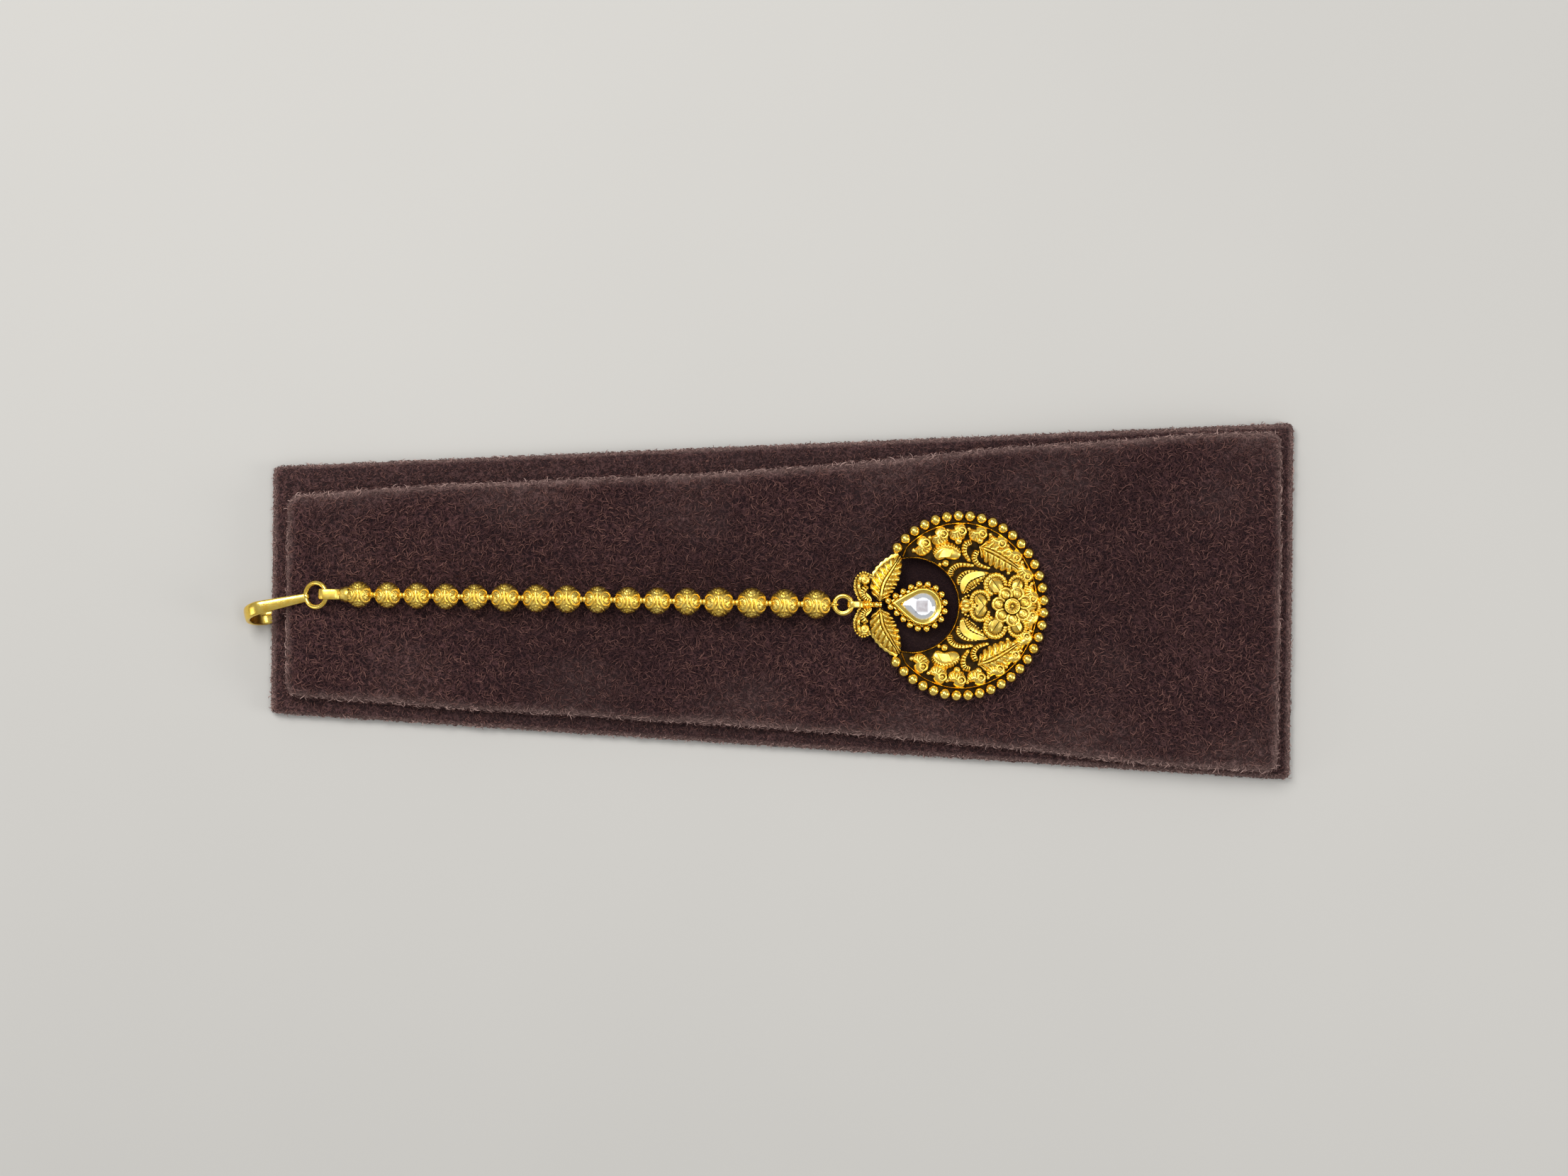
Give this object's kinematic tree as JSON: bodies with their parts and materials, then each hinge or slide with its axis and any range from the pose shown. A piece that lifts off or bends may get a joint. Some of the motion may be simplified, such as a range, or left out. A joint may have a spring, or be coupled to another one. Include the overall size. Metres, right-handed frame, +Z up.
{
  "type": "maang tikka on a display pad",
  "caption": "Gold maang tikka: a hook, a chain of round beads and a crescent pendant with a pear-shaped stone drop, lying on a tapered plush display pad",
  "frame": {"origin": "Middle of the bounding box at its base, on the surface that the display pad lies on", "axes": "+X runs along the pad from the hook to the pendant, +Y across the pad, +Z up, away from the surface"},
  "size_m": [0.1786, 0.0608, 0.0119],
  "materials": {
    "gold": "polished rich yellow gold with darkened recesses",
    "plush": "short curly dark brown plush pile",
    "crystal": "clear faceted foil-backed glass"
  },
  "bodies": {
    "root": {"display_board": "plush", "display_cushion": "plush", "hook": "gold", "end_bead": "gold", "bead_01": "gold", "bead_02": "gold", "bead_03": "gold", "bead_04": "gold", "bead_05": "gold", "bead_06": "gold", "bead_07": "gold", "bead_08": "gold", "bead_09": "gold", "bead_10": "gold", "bead_11": "gold", "bead_12": "gold", "bead_13": "gold", "bead_14": "gold", "bead_15": "gold", "link_01": "gold", "link_02": "gold", "link_03": "gold", "link_04": "gold", "link_05": "gold", "link_06": "gold", "link_07": "gold", "link_08": "gold", "link_09": "gold", "link_10": "gold", "link_11": "gold", "link_12": "gold", "link_13": "gold", "link_14": "gold", "link_15": "gold", "end_ring": "gold", "pendant": "gold", "drop_setting": "gold", "drop_stone": "crystal"}
  },
  "joints": []
}
